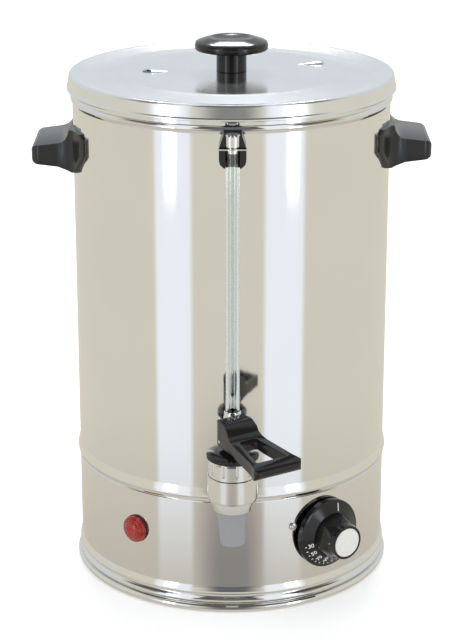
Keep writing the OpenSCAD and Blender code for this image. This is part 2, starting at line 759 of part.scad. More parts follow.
// A curved strip inside the wall that the thermostat and the two screws hold on to
module thermostat_bracket() {
    t = 1.5;
    color("silver") difference() {
        rotate([0, 0, dial_angle - 90 - 17]) translate([0, 0, dial_z - 19])
            rotate_extrude(angle = 34, $fn = 180) translate([inner_r - t - gap, 0]) square([t, 38]);
        at_dial() translate([0, 0, -20]) cylinder(r = neck_r + gap, h = 30);
        for (s = screw_places) on_wall(dial_angle + s[0], dial_z + s[1])
            translate([0, 0, -8]) cylinder(r = 2 + gap, h = 12);
    }
}

module thermostat_screws() {
    color("silver") for (s = screw_places) on_wall(dial_angle + s[0], dial_z + s[1])
        translate([0, 0, 0.15]) pan_screw(4.2, 2.4, 2, 10);
}

// The bulb in the water and the capillary that leads to the thermostat
module thermostat_bulb() {
    low = 98;
    side = [66, -88];
    color("peru") {
        rod([bulb_x, bulb_y - 84, bulb_z], [bulb_x, bulb_y - 8, bulb_z], 3.2);
        rod([bulb_x, bulb_y - 10, bulb_z], [bulb_x, bulb_y, bulb_z], 1.2);
        rod([bulb_x, bulb_y, bulb_z], [bulb_x, bulb_y, low], 1.2);
        rod([bulb_x, bulb_y, low], [side[0], side[1], low], 1.2);
        rod([side[0], side[1], low], [side[0], side[1], dial_z + 18.3], 1.2);
    }
}

module bulb_gland() {
    color("goldenrod") translate([bulb_x, bulb_y, 0]) difference() {
        union() {
            translate([0, 0, floor_z - 9]) cylinder(r = bulb_gland_r, h = 9 + floor_t + 0.2);
            translate([0, 0, floor_top_z + 0.1]) cylinder(r = 8, h = 5, $fn = 6);
            translate([0, 0, floor_z - 4.1]) cylinder(r = 8, h = 4, $fn = 6);
        }
        translate([0, 0, floor_z - 20]) cylinder(r = 1.2 + gap, h = 60);
    }
}

// The dial's skirt: an upright edge and a conical face
module dial_skirt() {
    r = dial_d / 2;
    color([0.1, 0.1, 0.1]) at_dial() translate([0, 0, skirt_z]) difference() {
        rotate_extrude() polygon([[0, 2.4], [r - 4, 2.4], [r - 3, 0], [r - 0.4, 0], [r, 0.5],
            [r, skirt_t - 0.6], [r - 0.6, skirt_t], [r - 2.2, skirt_t + 0.5], [22, skirt_t + 5],
            [20, skirt_t + 5.2], [0, skirt_t + 5.2]]);
        translate([0, 0, -1]) cylinder(r = thermostat_shaft_r + run_gap, h = 30);
    }
}

// The grip, six-sided at the skirt and round at the cap
grip_base_z = skirt_z + skirt_t + 5.3;
grip_top_z = 34;
dial_cap_r = 14;
module dial_grip() {
    color([0.1, 0.1, 0.1]) at_dial() difference() {
        union() {
            hull() {
                translate([0, 0, grip_base_z]) rotate([0, 0, 15]) cylinder(r = 22.5, h = 7, $fn = 6);
                translate([0, 0, grip_top_z - 8]) cylinder(r = 17.2, h = 1, $fn = 48);
            }
            translate([0, 0, grip_top_z - 7.2]) cylinder(r1 = 17.2, r2 = 16.4, h = 7.2);
        }
        translate([0, 0, -2]) cylinder(r = thermostat_shaft_r + run_gap, h = 22);
        translate([0, 0, grip_top_z - 1.2]) cylinder(r = dial_cap_r + gap, h = 4);
    }
}

module dial_cap() {
    color("gainsboro") at_dial() translate([0, 0, grip_top_z - 1.1])
        rotate_extrude() polygon([[0, 0], [dial_cap_r, 0], [dial_cap_r, 1.2], [dial_cap_r - 0.6, 1.8],
            [0, 2.2]]);
}

// ---- Pilot lamp ----

lamp_body_r = 10.8;
module at_lamp() {
    on_wall(-lamp_angle, lamp_z) children();
}

// The red lens, stepped in rings around its flat middle
module lamp_lens() {
    r = lamp_d / 2;
    color("firebrick") at_lamp() translate([0, 0, 0.9]) difference() {
        rotate_extrude() polygon([[0, 0], [r - 1, 0], [r - 0.3, 0.9], [r - 0.3, 2.6], [r - 1.2, 3.6],
            [r - 2.2, 3.6], [r - 2.4, 4.6], [r - 3.6, 5.4], [r - 4.2, 4.9], [r - 4.9, 6.2],
            [r - 6.2, 7.2], [5, 7.7], [0, 7.7]]);
        translate([0, 0, -1]) cylinder(r = 8, h = 5);
    }
}

module lamp_gasket() {
    color([0.1, 0.1, 0.1]) difference() {
        at_lamp() translate([0, 0, -2]) tube(lamp_d / 2, lamp_body_r + gap, 2.8);
        cylinder(r = body_r + run_gap, h = 200, $fn = 720);
    }
}

module lamp_body() {
    color("ivory") at_lamp() {
        translate([0, 0, -18]) cylinder(r = lamp_body_r, h = 18.8);
        translate([0, 0, -26]) cylinder(r = 8, h = 8.1);
        for (x = [-4, 4]) translate([x - 0.4, -2.4, -33]) cube([0.8, 4.8, 8]);
    }
}

module lamp_nut() {
    color("ivory") at_lamp() translate([0, 0, -9]) difference() {
        cylinder(r = 16, h = 6, $fn = 6);
        translate([0, 0, -1]) cylinder(r = lamp_body_r + gap, h = 8);
    }
}

// ---- Electrical pieces ----

cutout_x = 0;
cutout_y = 60;
button_r = 4;
gland_z = 46;
gland_thread_r = 8;
cord_hole_r = 4.25;

module terminal_block() {
    ways = 3;
    pitch = 12;
    color("ivory") translate([-74, 40, plate_z + plate_t + 0.1]) difference() {
        cube([ways * pitch + 6, 22, 18]);
        for (i = [0:ways - 1]) translate([9 + i * pitch, 0, 0]) {
            translate([0, -1, 9]) rotate([-90, 0, 0]) cylinder(r = 2.6, h = 24);
            for (y = [6, 16]) translate([0, y, 9]) cylinder(r = 2, h = 12);
        }
    }
}

// The boil-dry cutout, with its button's bore facing down
module boil_dry_cutout() {
    color("saddlebrown") translate([cutout_x, cutout_y, plate_z + plate_t + 0.1]) difference() {
        union() {
            cylinder(r = 15, h = 16);
            for (x = [-6, 6]) translate([x - 0.4, -3, 15]) cube([0.8, 6, 10]);
        }
        translate([0, 0, -1]) cylinder(r = button_r + run_gap, h = 9);
        translate([0, 0, -1]) cylinder(r = button_r + 1.6, h = 4.8);
    }
}

module cutout_clip() {
    t = 1;
    z = plate_z + plate_t + 0.1;
    color("silver") translate([cutout_x, cutout_y, z]) difference() {
        union() {
            tube(15 + gap + t, 15 + gap, 6);
            for (s = [-1, 1]) translate([s * 21 - 6, -5, 0]) cube([12, 10, t]);
        }
        cylinder(r = 15 + gap, h = 20, center = true);
        for (s = [-1, 1]) translate([s * 22, 0, -1]) cylinder(r = 1.8, h = 4);
    }
}

// The reset button: it stands out of the base plate and is pressed upwards
module reset_button() {
    color("red") translate([cutout_x, cutout_y, 0]) {
        translate([0, 0, 4]) cylinder(r = button_r, h = 10.4);
        translate([0, 0, plate_z + plate_t + 0.4]) cylinder(r = button_r + 1.2, h = 1.4);
    }
}

module cable_gland() {
    color([0.12, 0.12, 0.12]) on_wall(180, gland_z) difference() {
        union() {
            translate([0, 0, 0.4]) cylinder(r = 12, h = 6, $fn = 6);
            rotate_extrude() polygon([[0, 6], [10.4, 6], [10.4, 15], [9, 19], [6.6, 21], [0, 21]]);
            translate([0, 0, -14]) cylinder(r = gland_thread_r, h = 16);
        }
        translate([0, 0, -20]) cylinder(r = cord_hole_r, h = 60);
    }
}

module gland_nut() {
    color([0.12, 0.12, 0.12]) on_wall(180, gland_z) translate([0, 0, -7.6])
        hex_nut(12, gland_thread_r + gap, 5);
}

module earth_stud() {
    color("goldenrod") translate([70, 40, plate_z + plate_t + 0.1]) {
        cylinder(r = 2.5, h = 16);
        cylinder(r = 5, h = 3.6, $fn = 6);
        translate([0, 0, 6]) cylinder(r = 5, h = 3.6, $fn = 6);
    }
}

tank_shell();
rim_ring();
tank_floor();
base_shell();
foot_ring();
base_plate();
base_plate_screws();
lid_panel();
lid_louvres();
lid_knob_head();
lid_knob_stem();
lid_knob_screw();
lid_knob_washer();
handle_left();
handle_right();
handle_screws();
handle_backing_plates();
gauge_tube();
gauge_cap();
gauge_holder();
gauge_clip();
gauge_gland_nut();
gauge_seal();
gauge_banjo();
tap_body();
tap_shank_nut();
tap_outer_washer();
tap_inner_washer();
tap_nozzle();
tap_ring();
tap_bonnet();
tap_stem();
tap_seat_cup();
tap_spring();
tap_lever();
tap_pin();
heating_element();
element_bushes();
element_nuts();
element_seals();
thermostat_body();
thermostat_shaft();
thermostat_bracket();
thermostat_screws();
thermostat_bulb();
bulb_gland();
dial_skirt();
dial_grip();
dial_cap();
lamp_lens();
lamp_gasket();
lamp_body();
lamp_nut();
terminal_block();
boil_dry_cutout();
cutout_clip();
reset_button();
cable_gland();
gland_nut();
earth_stud();
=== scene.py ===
import json
import math

import bpy
from mathutils import Matrix, Vector

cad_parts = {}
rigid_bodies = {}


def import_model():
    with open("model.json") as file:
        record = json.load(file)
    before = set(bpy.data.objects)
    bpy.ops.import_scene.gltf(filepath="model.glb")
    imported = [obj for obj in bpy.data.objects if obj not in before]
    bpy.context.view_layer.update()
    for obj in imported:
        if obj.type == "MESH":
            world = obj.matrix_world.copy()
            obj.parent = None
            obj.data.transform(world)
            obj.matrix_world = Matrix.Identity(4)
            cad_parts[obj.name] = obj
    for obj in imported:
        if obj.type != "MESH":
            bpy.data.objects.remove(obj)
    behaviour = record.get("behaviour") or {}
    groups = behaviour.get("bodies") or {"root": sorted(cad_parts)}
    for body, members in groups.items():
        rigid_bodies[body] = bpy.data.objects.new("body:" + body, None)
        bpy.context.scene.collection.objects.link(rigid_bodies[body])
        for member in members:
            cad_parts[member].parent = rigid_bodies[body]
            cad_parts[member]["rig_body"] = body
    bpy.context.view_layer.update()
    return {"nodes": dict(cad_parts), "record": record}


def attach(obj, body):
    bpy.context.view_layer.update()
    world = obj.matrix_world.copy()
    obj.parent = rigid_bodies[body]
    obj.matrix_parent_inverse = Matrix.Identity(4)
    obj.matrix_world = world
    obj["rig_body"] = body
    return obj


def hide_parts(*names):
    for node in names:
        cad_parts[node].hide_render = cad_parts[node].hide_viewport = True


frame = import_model()
nodes = frame["nodes"]
mm = 0.001


view = {
    "place": (0, -1.921, 0.880),  # metres, in front of the tap and above the lid
    "pitchDown": 18.45,  # degrees
    "lens": 115.7,
}


def makeCamera():
    data = bpy.data.cameras.new("camera")
    data.lens = view["lens"]
    data.sensor_width = 36
    data.clip_end = 20
    camera = bpy.data.objects.new("camera", data)
    bpy.context.collection.objects.link(camera)
    camera.location = view["place"]
    camera.rotation_euler = (math.radians(90 - view["pitchDown"]), 0, 0)
    bpy.context.scene.camera = camera


def newMaterial(name):
    made = bpy.data.materials.new(name)
    made.use_nodes = True
    tree = made.node_tree
    return made, tree, tree.nodes["Principled BSDF"]


def mathNode(tree, operation, a, b=None):
    made = tree.nodes.new("ShaderNodeMath")
    made.operation = operation
    for socket, value in zip(made.inputs, (a, b)):
        if value is None:
            continue
        if isinstance(value, (int, float)):
            socket.default_value = value
        else:
            tree.links.new(value, socket)
    return made.outputs[0]


def times(tree, a, b):
    return mathNode(tree, "MULTIPLY", a, b)


def smoothStep(tree, value, low, high):
    made = tree.nodes.new("ShaderNodeMapRange")
    made.interpolation_type = "SMOOTHSTEP"
    tree.links.new(value, made.inputs["Value"])
    made.inputs["From Min"].default_value = low
    made.inputs["From Max"].default_value = high
    return made.outputs["Result"]


def mixColours(tree, factor, first, second):
    made = tree.nodes.new("ShaderNodeMix")
    made.data_type = "RGBA"
    for socket, value in ((made.inputs[0], factor), (made.inputs[6], first), (made.inputs[7], second)):
        if isinstance(value, (int, float, tuple)):
            socket.default_value = value
        else:
            tree.links.new(value, socket)
    return made.outputs[2]


floorLook = {
    "size": 8,
    "colour": (0.93, 0.93, 0.93, 1),
    "lift": 0.2,  # added for the camera alone, so the paper is white and the shadow stays
}


def makeFloor():
    bpy.ops.mesh.primitive_plane_add(size=floorLook["size"])
    floor = bpy.context.object
    floor.name = "floor"
    made, tree, shader = newMaterial("floor")
    shader.inputs["Base Color"].default_value = floorLook["colour"]
    shader.inputs["Roughness"].default_value = 0.9
    shader.inputs["Specular IOR Level"].default_value = 0
    shader.inputs["Emission Color"].default_value = (1, 1, 1, 1)
    path = tree.nodes.new("ShaderNodeLightPath")
    lift = times(tree, path.outputs["Is Camera Ray"], floorLook["lift"])
    tree.links.new(lift, shader.inputs["Emission Strength"])
    clear = tree.nodes.new("ShaderNodeBsdfTransparent")
    mix = tree.nodes.new("ShaderNodeMixShader")
    tree.links.new(path.outputs["Is Glossy Ray"], mix.inputs[0])
    tree.links.new(shader.outputs[0], mix.inputs[1])
    tree.links.new(clear.outputs[0], mix.inputs[2])
    tree.links.new(mix.outputs[0], tree.nodes["Material Output"].inputs["Surface"])
    floor.data.materials.append(made)


# The room that the steel and the plastics mirror. Azimuth is 0 in front of the urn and 180 behind
# it, and the arch angle goes from 0 at the front over the top to 180 at the back. The camera's own
# corner of the room is dark above the horizon.
studio = {
    "background": (1, 1, 1, 1),
    "fill": (0.86, 0.87, 0.88, 1),  # what lights the matt surfaces
    "front": (0.70, 0.675, 0.585, 1),
    "low": (0.56, 0.53, 0.46, 1),
    "lowMiddle": (0.27, 0.255, 0.245, 1),
    "back": (0.66, 0.70, 0.74, 1),
    "dark": (0.10, 0.095, 0.09, 1),
    "camera": (0.14, 0.145, 0.155, 1),
    "ground": (0.62, 0.61, 0.57, 1),
    "box": (0.94, 0.98, 1.05, 1),
    "leftBox": (-56.5, -29),  # degrees from the front
    "rightBox": (24, 53.5),
    "boxSoft": 2.2,
    "boxHeight": (-24, 60),
    # where each part of the room begins and where it is full, in degrees
    "backAzimuth": (70, 120),
    "backHeight": (-2, 6),
    "lowHeight": (-20, -26),
    "middleAzimuth": (34, 8),
    "middleHeight": (-20, -25),
    "groundHeight": (-42, -56),
    "frontArch": (100, 80),
    "darkHeight": (16, 30),
    "cameraAzimuth": (26, 8),
    "cameraHeight": (-3, 3),
}


def band(tree, value, low, high, soft):
    rising = smoothStep(tree, value, low - soft, low + soft)
    falling = smoothStep(tree, value, high + soft, high - soft)
    return times(tree, rising, falling)


def makeStudio():
    world = bpy.data.worlds.new("studio")
    bpy.context.scene.world = world
    world.use_nodes = True
    tree = world.node_tree
    tree.nodes.clear()
    coords = tree.nodes.new("ShaderNodeTexCoord")
    axes = tree.nodes.new("ShaderNodeSeparateXYZ")
    tree.links.new(coords.outputs["Generated"], axes.inputs[0])
    x, y, z = axes.outputs
    degrees = 180 / math.pi
    forward = times(tree, y, -1)
    turn = times(tree, mathNode(tree, "ARCTAN2", x, forward), degrees)
    azimuth = mathNode(tree, "ABSOLUTE", turn)
    height = times(tree, mathNode(tree, "ARCSINE", z), degrees)
    arch = times(tree, mathNode(tree, "ARCTAN2", z, forward), degrees)

    def part(value, name):
        return smoothStep(tree, value, *studio[name])

    behind = times(tree, part(azimuth, "backAzimuth"), part(height, "backHeight"))
    room = mixColours(tree, behind, studio["front"], studio["back"])
    room = mixColours(tree, part(height, "lowHeight"), room, studio["low"])
    middle = times(tree, part(azimuth, "middleAzimuth"), part(height, "middleHeight"))
    room = mixColours(tree, middle, room, studio["lowMiddle"])
    room = mixColours(tree, part(height, "groundHeight"), room, studio["ground"])
    inFront = part(arch, "frontArch")
    gloom = times(tree, part(height, "darkHeight"), inFront)
    room = mixColours(tree, gloom, room, studio["dark"])
    corner = times(tree, part(height, "cameraHeight"), inFront)
    corner = times(tree, part(azimuth, "cameraAzimuth"), corner)
    room = mixColours(tree, corner, room, studio["camera"])
    for edges in (studio["leftBox"], studio["rightBox"]):
        across = band(tree, turn, *edges, studio["boxSoft"])
        inBox = times(tree, across, band(tree, height, *studio["boxHeight"], 3))
        room = mixColours(tree, inBox, room, studio["box"])
    path = tree.nodes.new("ShaderNodeLightPath")
    mirrored = mathNode(
        tree, "MAXIMUM", path.outputs["Is Glossy Ray"], path.outputs["Is Transmission Ray"]
    )
    seen = mixColours(tree, mirrored, studio["fill"], room)
    seen = mixColours(tree, path.outputs["Is Camera Ray"], seen, studio["background"])
    light = tree.nodes.new("ShaderNodeBackground")
    tree.links.new(seen, light.inputs["Color"])
    out = tree.nodes.new("ShaderNodeOutputWorld")
    tree.links.new(light.outputs[0], out.inputs["Surface"])


# The soft lamps give no mirror image. The spark lamps light only the plastics, for their highlights.
lamps = {
    "left": {"place": (-1.6, -1.6, 1.6), "size": (1.2, 1.2), "power": 9},
    "right": {"place": (1.6, -1.6, 1.6), "size": (1.2, 1.2), "power": 9},
    "spark.top": {"place": (0, 1.3, 1.9), "size": (1, 0.36), "power": 24, "spark": True},
    "spark.left": {"place": (-1.5, -1.6, 0.5), "size": (0.34, 1.3), "power": 3, "spark": True},
    "spark.right": {"place": (1.5, -1.6, 0.5), "size": (0.34, 1.3), "power": 3, "spark": True},
}
lampAim = Vector((0, 0, 0.25))
plastics = bpy.data.collections.new("plastics")


def makeLamps():
    for name, lamp in lamps.items():
        data = bpy.data.lights.new("lamp." + name, "AREA")
        data.shape = "RECTANGLE"
        data.size, data.size_y = lamp["size"]
        data.energy = lamp["power"]
        made = bpy.data.objects.new("lamp." + name, data)
        bpy.context.collection.objects.link(made)
        made.location = lamp["place"]
        aim = lampAim - Vector(lamp["place"])
        made.rotation_euler = aim.to_track_quat("-Z", "Y").to_euler()
        if lamp.get("spark"):
            made.light_linking.receiver_collection = plastics
        else:
            made.visible_glossy = False


bpy.context.scene.view_settings.view_transform = "Standard"
makeCamera()
makeFloor()
makeStudio()
makeLamps()
print("camera, floor and light are in place")


def newGroup(name, inputs, outputs):
    group = bpy.data.node_groups.new(name, "ShaderNodeTree")
    for label, kind, value in inputs:
        socket = group.interface.new_socket(label, in_out="INPUT", socket_type=kind)
        socket.default_value = value
    for label, kind in outputs:
        group.interface.new_socket(label, in_out="OUTPUT", socket_type=kind)
    return group, group.nodes.new("NodeGroupInput"), group.nodes.new("NodeGroupOutput")


def makeGrainGroup():
    group, given, out = newGroup(
        "surfaceGrain",
        [
            ("Scale", "NodeSocketFloat", 900.0),
            ("Stretch", "NodeSocketVector", (1, 1, 1)),
            ("Colour", "NodeSocketColor", (0.5, 0.5, 0.5, 1)),
            ("Variation", "NodeSocketFloat", 0.1),
            ("Roughness", "NodeSocketFloat", 0.3),
            ("Roughness Variation", "NodeSocketFloat", 0.1),
            ("Bump", "NodeSocketFloat", 0.1),
        ],
        [("Colour", "NodeSocketColor"), ("Roughness", "NodeSocketFloat"), ("Normal", "NodeSocketVector")],
    )
    link = group.links.new
    coords = group.nodes.new("ShaderNodeTexCoord")
    stretched = group.nodes.new("ShaderNodeVectorMath")
    stretched.operation = "MULTIPLY"
    link(coords.outputs["Object"], stretched.inputs[0])
    link(given.outputs["Stretch"], stretched.inputs[1])
    fine = group.nodes.new("ShaderNodeTexNoise")
    link(stretched.outputs[0], fine.inputs["Vector"])
    link(given.outputs["Scale"], fine.inputs["Scale"])
    fine.inputs["Detail"].default_value = 3
    broad = group.nodes.new("ShaderNodeTexNoise")
    link(coords.outputs["Object"], broad.inputs["Vector"])
    broad.inputs["Scale"].default_value = 14
    broad.inputs["Detail"].default_value = 4
    darker = mixColours(group, 1.0, (0, 0, 0, 1), (0, 0, 0, 1)).node
    darker.blend_type = "MULTIPLY"
    shade = mathNode(group, "SUBTRACT", broad.outputs[0], 0.5)
    shade = mathNode(group, "ADD", times(group, shade, given.outputs["Variation"]), 1.0)
    spread = group.nodes.new("ShaderNodeCombineColor")
    for socket in spread.inputs:
        link(shade, socket)
    link(given.outputs["Colour"], darker.inputs[6])
    link(spread.outputs[0], darker.inputs[7])
    link(darker.outputs[2], out.inputs["Colour"])
    uneven = mathNode(group, "ADD", times(group, fine.outputs[0], 0.5), times(group, broad.outputs[0], 0.5))
    uneven = mathNode(group, "SUBTRACT", uneven, 0.5)
    rough = times(group, uneven, given.outputs["Roughness Variation"])
    link(mathNode(group, "ADD", rough, given.outputs["Roughness"]), out.inputs["Roughness"])
    bump = group.nodes.new("ShaderNodeBump")
    bump.inputs["Distance"].default_value = 0.0004
    link(given.outputs["Bump"], bump.inputs["Strength"])
    link(fine.outputs[0], bump.inputs["Height"])
    link(bump.outputs[0], out.inputs["Normal"])
    return group


grain = makeGrainGroup()

# tone and roughSpread say how far the colour and the roughness vary over the piece
finishes = {
    "polished_steel": {"colour": (0.86, 0.855, 0.84), "tone": 0.06, "rough": 0.075, "roughSpread": 0.07,
                       "bump": 0.004, "scale": 60, "stretch": (1, 1, 0.08), "metal": 1},
    "satin_steel": {"colour": (0.88, 0.885, 0.89), "tone": 0.1, "rough": 0.16, "roughSpread": 0.1,
                    "bump": 0.012, "scale": 220, "stretch": (1, 0.12, 1), "metal": 1},
    "plain_steel": {"colour": (0.58, 0.58, 0.57), "tone": 0.12, "rough": 0.36, "roughSpread": 0.2,
                    "bump": 0.03, "scale": 500, "stretch": (1, 0.05, 1), "metal": 1},
    "fastener_steel": {"colour": (0.72, 0.71, 0.69), "tone": 0.1, "rough": 0.2, "roughSpread": 0.15,
                       "bump": 0.02, "scale": 900, "stretch": (1, 1, 1), "metal": 1},
    "tap_chrome": {"colour": (0.86, 0.86, 0.84), "tone": 0.04, "rough": 0.2, "roughSpread": 0.04,
                   "bump": 0.001, "scale": 200, "stretch": (1, 1, 1), "metal": 1},
    "cap_silver": {"colour": (0.8, 0.8, 0.79), "tone": 0.05, "rough": 0.42, "roughSpread": 0.1,
                   "bump": 0.02, "scale": 700, "stretch": (1, 1, 1), "metal": 0.35},
    "chrome": {"colour": (0.84, 0.84, 0.84), "tone": 0.05, "rough": 0.12, "roughSpread": 0.08,
               "bump": 0.006, "scale": 500, "stretch": (1, 1, 1), "metal": 1},
    "spring_steel": {"colour": (0.45, 0.45, 0.45), "tone": 0.1, "rough": 0.35, "roughSpread": 0.1,
                     "bump": 0.05, "scale": 900, "stretch": (1, 1, 1), "metal": 1},
    "element_sheath": {"colour": (0.24, 0.22, 0.2), "tone": 0.4, "rough": 0.45, "roughSpread": 0.3,
                       "bump": 0.08, "scale": 400, "stretch": (1, 1, 1), "metal": 1},
    "brass": {"colour": (0.72, 0.55, 0.26), "tone": 0.12, "rough": 0.28, "roughSpread": 0.15,
              "bump": 0.03, "scale": 700, "stretch": (1, 1, 1), "metal": 1},
    "copper": {"colour": (0.66, 0.36, 0.22), "tone": 0.15, "rough": 0.32, "roughSpread": 0.15,
               "bump": 0.03, "scale": 700, "stretch": (1, 1, 1), "metal": 1},
    "gloss_black": {"colour": (0.010, 0.0095, 0.0095), "tone": 0.3, "rough": 0.14, "roughSpread": 0.06,
                    "bump": 0.01, "scale": 700, "stretch": (1, 1, 1), "metal": 0, "ior": 1.48},
    "moulded_black": {"colour": (0.010, 0.0105, 0.0125), "tone": 0.3, "rough": 0.2, "roughSpread": 0.1,
                      "bump": 0.03, "scale": 1400, "stretch": (1, 1, 1), "metal": 0, "ior": 1.48},
    "rubber": {"colour": (0.03, 0.03, 0.03), "tone": 0.3, "rough": 0.75, "roughSpread": 0.15,
               "bump": 0.15, "scale": 1400, "stretch": (1, 1, 1), "metal": 0},
    "silicone": {"colour": (0.72, 0.7, 0.66), "tone": 0.06, "rough": 0.5, "roughSpread": 0.1,
                 "bump": 0.05, "scale": 900, "stretch": (1, 1, 1), "metal": 0},
    "grey_nozzle": {"colour": (0.27, 0.275, 0.285), "tone": 0.06, "rough": 0.36, "roughSpread": 0.1,
                    "bump": 0.05, "scale": 900, "stretch": (1, 1, 1), "metal": 0},
    "thermostat_case": {"colour": (0.22, 0.12, 0.07), "tone": 0.2, "rough": 0.45, "roughSpread": 0.1,
                        "bump": 0.1, "scale": 900, "stretch": (1, 1, 1), "metal": 0},
    "ivory_plastic": {"colour": (0.8, 0.77, 0.68), "tone": 0.05, "rough": 0.45, "roughSpread": 0.1,
                      "bump": 0.08, "scale": 900, "stretch": (1, 1, 1), "metal": 0},
    "red_button": {"colour": (0.5, 0.02, 0.02), "tone": 0.1, "rough": 0.35, "roughSpread": 0.1,
                   "bump": 0.05, "scale": 900, "stretch": (1, 1, 1), "metal": 0},
}


def addGrain(tree, shader, values):
    use = tree.nodes.new("ShaderNodeGroup")
    use.node_tree = grain
    for label, value in values.items():
        use.inputs[label].default_value = value
    tree.links.new(use.outputs["Colour"], shader.inputs["Base Color"])
    tree.links.new(use.outputs["Roughness"], shader.inputs["Roughness"])
    if "Bump" in values:
        tree.links.new(use.outputs["Normal"], shader.inputs["Normal"])


def makeFinish(name):
    look = finishes[name]
    made, tree, shader = newMaterial(name)
    values = {
        "Scale": look["scale"],
        "Stretch": look["stretch"],
        "Colour": (*look["colour"], 1),
        "Variation": look["tone"],
        "Roughness": look["rough"],
        "Roughness Variation": look["roughSpread"],
        "Bump": look["bump"],
    }
    addGrain(tree, shader, values)
    shader.inputs["Metallic"].default_value = look["metal"]
    shader.inputs["IOR"].default_value = look.get("ior", 1.5)
    return made


def makeClearTube():
    made, tree, shader = newMaterial("clear_tube")
    shader.inputs["Base Color"].default_value = (0.93, 0.97, 0.98, 1)
    shader.inputs["Roughness"].default_value = 0.04
    shader.inputs["Transmission Weight"].default_value = 1
    shader.inputs["IOR"].default_value = 1.47
    return made


def makeRedLens():
    made, tree, shader = newMaterial("red_lens")
    addGrain(tree, shader, {"Colour": (0.36, 0.02, 0.012, 1), "Variation": 0.6, "Roughness": 0.12})
    shader.inputs["Transmission Weight"].default_value = 0.25
    shader.inputs["Coat Weight"].default_value = 0.5
    return made


def makePrint():
    made, tree, shader = newMaterial("white_print")
    addGrain(tree, shader, {"Colour": (0.86, 0.86, 0.84, 1), "Variation": 0.1, "Roughness": 0.5})
    return made


materials = {name: makeFinish(name) for name in finishes}
materials["clear_tube"] = makeClearTube()
materials["red_lens"] = makeRedLens()
materials["white_print"] = makePrint()
slotOf = {part["node"]: part["material_slot"] for part in frame["record"]["subparts"]}
finishOf = {**slotOf, "tap_body": "tap_chrome", "tap_ring": "tap_chrome", "dial_cap": "cap_silver"}
for name, thing in nodes.items():
    thing.data.materials.clear()
    thing.data.materials.append(materials[finishOf[name]])
print("the CAD pieces have their finishes")


def pickOnly(*things):
    if bpy.context.object and bpy.context.object.mode != "OBJECT":
        bpy.ops.object.mode_set(mode="OBJECT")
    bpy.ops.object.select_all(action="DESELECT")
    for thing in things:
        thing.select_set(True)
    bpy.context.view_layer.objects.active = things[0]


def setPlace(piece):
    # the piece's place goes into its mesh
    pickOnly(piece)
    bpy.ops.object.transform_apply(location=True, rotation=True, scale=True)


def finishPiece(piece, name, body, finish, replaced=(), smooth=30):
    piece.name = name
    piece.data.name = name
    setPlace(piece)
    bpy.ops.object.shade_smooth_by_angle(angle=math.radians(smooth))
    piece.data.materials.clear()
    piece.data.materials.append(materials[finish])
    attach(piece, body)
    if replaced:
        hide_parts(*replaced)
    return piece


def addBevel(piece, width, segments, angle):
    pickOnly(piece)
    bevel = piece.modifiers.new("edges", "BEVEL")
    bevel.width = width
    bevel.segments = segments
    bevel.limit_method = "ANGLE"
    bevel.angle_limit = math.radians(angle)
    bpy.ops.object.modifier_apply(modifier=bevel.name)


def roundedCopy(node, name, width, segments, angle, smooth=35):
    # the CAD shape again, welded and with its edges rounded
    piece = bpy.data.objects.new(name, nodes[node].data.copy())
    bpy.context.collection.objects.link(piece)
    pickOnly(piece)
    bpy.ops.object.mode_set(mode="EDIT")
    bpy.ops.mesh.select_all(action="SELECT")
    bpy.ops.mesh.customdata_custom_splitnormals_clear()
    bpy.ops.mesh.remove_doubles(threshold=0.00002)
    bpy.ops.mesh.dissolve_limited(angle_limit=math.radians(1))
    bpy.ops.object.mode_set(mode="OBJECT")
    addBevel(piece, width, segments, angle)
    body = nodes[node]["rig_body"]
    return finishPiece(piece, name, body, slotOf[node], [node], smooth)


def spun(name, points, turn, steps=64):
    # a profile of radius and height, spun round its own Z and then put in place
    mesh = bpy.data.meshes.new(name)
    edges = [(i, i + 1) for i in range(len(points) - 1)]
    mesh.from_pydata([(r * mm, 0, z * mm) for r, z in points], edges, [])
    piece = bpy.data.objects.new(name, mesh)
    bpy.context.collection.objects.link(piece)
    pickOnly(piece)
    bpy.ops.object.mode_set(mode="EDIT")
    bpy.ops.mesh.select_all(action="SELECT")
    bpy.ops.mesh.spin(steps=steps, angle=2 * math.pi, center=(0, 0, 0), axis=(0, 0, 1))
    bpy.ops.mesh.select_all(action="SELECT")
    bpy.ops.mesh.remove_doubles(threshold=0.00001)
    bpy.ops.mesh.normals_make_consistent(inside=False)
    bpy.ops.object.mode_set(mode="OBJECT")
    piece.matrix_world = turn
    return piece


def onWall(angle, height, radius=150):
    # a frame on the wall: its Z points out and its Y up
    return (
        Matrix.Rotation(math.radians(angle), 4, "Z")
        @ Matrix.Translation((0, -radius * mm, height * mm))
        @ Matrix.Rotation(math.pi / 2, 4, "X")
    )


handle = {
    "edge": 2.4,  # mm, rounding of the moulding's edges
    "segments": 4,
    "fold": 24,  # degrees, edges sharper than this are rounded
}


def makeHandles():
    for side in ("left", "right"):
        name = "handle." + side
        roundedCopy("handle_" + side, name, handle["edge"] * mm, handle["segments"], handle["fold"])


knob = {
    "radius": 34.7,
    "jointHeight": 508.4,  # underside of the head
}


def makeKnob():
    r = knob["radius"]
    points = [(0, 0.1), (r - 3, 0.1), (r - 1, 0.6), (r - 0.15, 1.7), (r, 2.6), (r, 5.2), (r - 0.25, 6.3)]
    points += [(r - 0.9, 7.4), (r - 2.2, 8.3), (r - 5, 9.3), (r - 8, 10.3), (r - 11, 11.2), (r - 13.2, 11.85)]
    points += [(r - 15, 12), (r - 16.6, 11.7), (r - 19, 10.9), (r - 23, 10), (r - 29, 9.6), (0, 9.5)]
    place = Matrix.Translation((0, 0, knob["jointHeight"] * mm))
    piece = spun("knob.head", points, place, 96)
    finishPiece(piece, "knob.head", "lid", "gloss_black", ["lid_knob_head"], 40)


